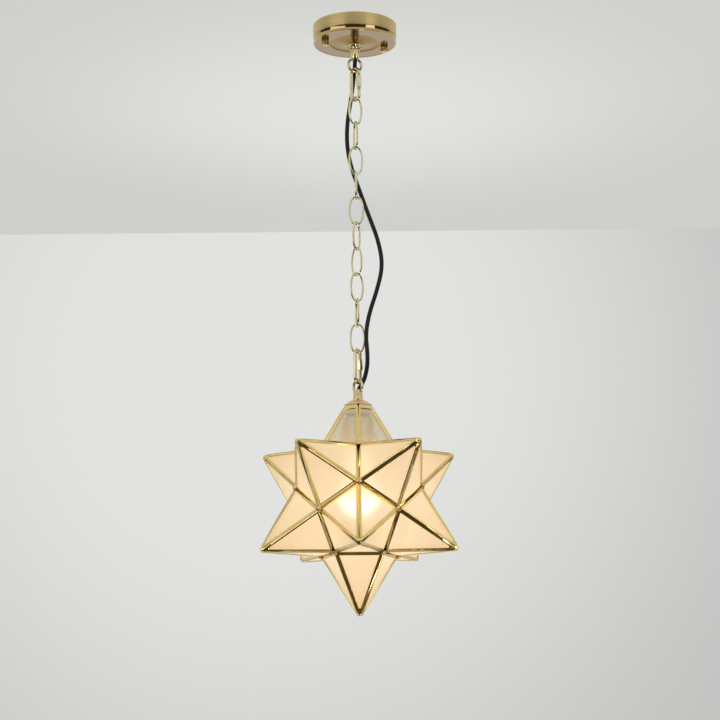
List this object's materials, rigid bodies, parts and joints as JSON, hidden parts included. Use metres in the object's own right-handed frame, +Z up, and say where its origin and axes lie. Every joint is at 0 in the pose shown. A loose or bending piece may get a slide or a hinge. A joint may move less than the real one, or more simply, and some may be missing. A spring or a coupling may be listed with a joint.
{
  "type": "star pendant light",
  "caption": "Pendant light: a many-pointed star lantern of frosted panes in brass cames, hung by quick links and an oval-link chain with a free cord from a round ceiling canopy.",
  "frame": {"origin": "centre of the canopy's ceiling face", "axes": "+Z up towards the ceiling, -Y to the front as pictured, +X to the right in the picture"},
  "size_m": [0.2702, 0.284, 0.8504],
  "materials": {
    "canopy_brass": "satin",
    "plated_steel": "satin",
    "nut_brass": "polished",
    "white_plastic": "matte",
    "loop_brass": "polished",
    "chain_brass": "satin",
    "cap_copper": "satin",
    "came_brass": "polished",
    "frosted_glass": "frosted",
    "cup_brass": "polished",
    "black_plastic": "matte",
    "contact_brass": "polished",
    "base_aluminium": "satin",
    "bulb_glass": "frosted",
    "cord_cover": "matte"
  },
  "bodies": {
    "mount": {"canopy_shell": "canopy_brass", "mounting_bracket": "plated_steel", "canopy_studs": "plated_steel", "thumb_nuts": "nut_brass", "canopy_tube": "plated_steel", "canopy_lock_nut": "plated_steel", "terminal_block": "white_plastic", "upper_loop": "loop_brass", "power_cord": "cord_cover"},
    "upper_hook": {"upper_quick_link": "chain_brass"},
    "upper_hook_nut": {"upper_quick_nut": "chain_brass"},
    "link_01": {"chain_link_01": "chain_brass"},
    "link_02": {"chain_link_02": "chain_brass"},
    "link_03": {"chain_link_03": "chain_brass"},
    "link_04": {"chain_link_04": "chain_brass"},
    "link_05": {"chain_link_05": "chain_brass"},
    "link_06": {"chain_link_06": "chain_brass"},
    "link_07": {"chain_link_07": "chain_brass"},
    "link_08": {"chain_link_08": "chain_brass"},
    "link_09": {"chain_link_09": "chain_brass"},
    "link_10": {"chain_link_10": "chain_brass"},
    "lower_hook": {"lower_quick_link": "chain_brass"},
    "lower_hook_nut": {"lower_quick_nut": "chain_brass"},
    "star": {"lower_loop": "loop_brass", "star_cap": "cap_copper", "lamp_tube": "plated_steel", "lamp_lock_nuts": "plated_steel", "lamp_cup": "cup_brass", "holder_body": "black_plastic", "holder_shell": "contact_brass", "holder_contact": "contact_brass", "came_point_01": "came_brass", "came_point_03": "came_brass", "came_point_04": "came_brass", "came_point_05": "came_brass", "came_point_06": "came_brass", "came_point_07": "came_brass", "came_point_08": "came_brass", "came_point_09": "came_brass", "came_point_10": "came_brass", "came_point_11": "came_brass", "came_point_12": "came_brass", "glass_point_01": "frosted_glass", "glass_point_03": "frosted_glass", "glass_point_04": "frosted_glass", "glass_point_05": "frosted_glass", "glass_point_06": "frosted_glass", "glass_point_07": "frosted_glass", "glass_point_08": "frosted_glass", "glass_point_09": "frosted_glass", "glass_point_10": "frosted_glass", "glass_point_11": "frosted_glass", "glass_point_12": "frosted_glass", "hinge_barrels": "came_brass", "hinge_pin": "came_brass"},
    "door": {"came_point_02": "came_brass", "glass_point_02": "frosted_glass", "door_barrel": "came_brass"},
    "bulb": {"bulb_base": "base_aluminium", "bulb_glass": "bulb_glass"}
  },
  "joints": [
    {"name": "swing_01", "type": "hinge", "parent": "mount", "child": "upper_hook", "pos_m": [0, 0, -0.0692], "axis": [0.9397, 0.342, 0], "range_deg": [-35, 35], "deforming": ["power_cord"]},
    {"name": "swing_02", "type": "hinge", "parent": "upper_hook", "child": "link_01", "pos_m": [0, 0, -0.11175], "axis": [-0.809, 0.5878, 0], "range_deg": [-45, 45], "deforming": ["power_cord"]},
    {"name": "swing_03", "type": "hinge", "parent": "link_01", "child": "link_02", "pos_m": [0, 0, -0.148], "axis": [-0.9063, -0.4226, 0], "range_deg": [-45, 45], "deforming": ["power_cord"]},
    {"name": "swing_04", "type": "hinge", "parent": "link_02", "child": "link_03", "pos_m": [0, 0, -0.1852], "axis": [0.2419, -0.9703, 0], "range_deg": [-45, 45], "deforming": ["power_cord"]},
    {"name": "swing_05", "type": "hinge", "parent": "link_03", "child": "link_04", "pos_m": [0, 0, -0.2224], "axis": [-0.9659, -0.2588, 0], "range_deg": [-45, 45], "deforming": ["power_cord"]},
    {"name": "swing_06", "type": "hinge", "parent": "link_04", "child": "link_05", "pos_m": [0, 0, -0.2596], "axis": [0.0349, 0.9994, 0], "range_deg": [-45, 45], "deforming": ["power_cord"]},
    {"name": "swing_07", "type": "hinge", "parent": "link_05", "child": "link_06", "pos_m": [0, 0, -0.2968], "axis": [1, 0, 0], "range_deg": [-45, 45], "deforming": ["power_cord"]},
    {"name": "swing_08", "type": "hinge", "parent": "link_06", "child": "link_07", "pos_m": [0, 0, -0.334], "axis": [0.4695, 0.8829, 0], "range_deg": [-45, 45], "deforming": ["power_cord"]},
    {"name": "swing_09", "type": "hinge", "parent": "link_07", "child": "link_08", "pos_m": [0, 0, -0.3712], "axis": [0.7071, -0.7071, 0], "range_deg": [-45, 45], "deforming": ["power_cord"]},
    {"name": "swing_10", "type": "hinge", "parent": "link_08", "child": "link_09", "pos_m": [0, 0, -0.4084], "axis": [-0.866, -0.5, 0], "range_deg": [-45, 45], "deforming": ["power_cord"]},
    {"name": "swing_11", "type": "hinge", "parent": "link_09", "child": "link_10", "pos_m": [0, 0, -0.4456], "axis": [-0.1736, 0.9848, 0], "range_deg": [-45, 45], "deforming": ["power_cord"]},
    {"name": "swing_12", "type": "hinge", "parent": "link_10", "child": "lower_hook", "pos_m": [0, 0, -0.4828], "axis": [1, 0, 0], "range_deg": [-45, 45], "deforming": ["power_cord"]},
    {"name": "swing_13", "type": "hinge", "parent": "lower_hook", "child": "star", "pos_m": [0, 0, -0.52575], "axis": [-0.515, -0.8572, 0], "range_deg": [-40, 40], "deforming": ["power_cord"]},
    {"name": "upper_nut_screw", "type": "slide", "parent": "upper_hook", "child": "upper_hook_nut", "axis": [0, 0, 1], "range_m": [-0.012, 0]},
    {"name": "lower_nut_screw", "type": "slide", "parent": "lower_hook", "child": "lower_hook_nut", "axis": [0, 0, 1], "range_m": [-0.012, 0]},
    {"name": "door_hinge", "type": "hinge", "parent": "star", "child": "door", "pos_m": [0, 0.04681, -0.61765], "axis": [1, 0, 0], "range_deg": [0, 90]},
    {"name": "bulb_screw", "type": "slide", "parent": "star", "child": "bulb", "axis": [0, 0, 1], "range_m": [-0.028, 0]}
  ]
}
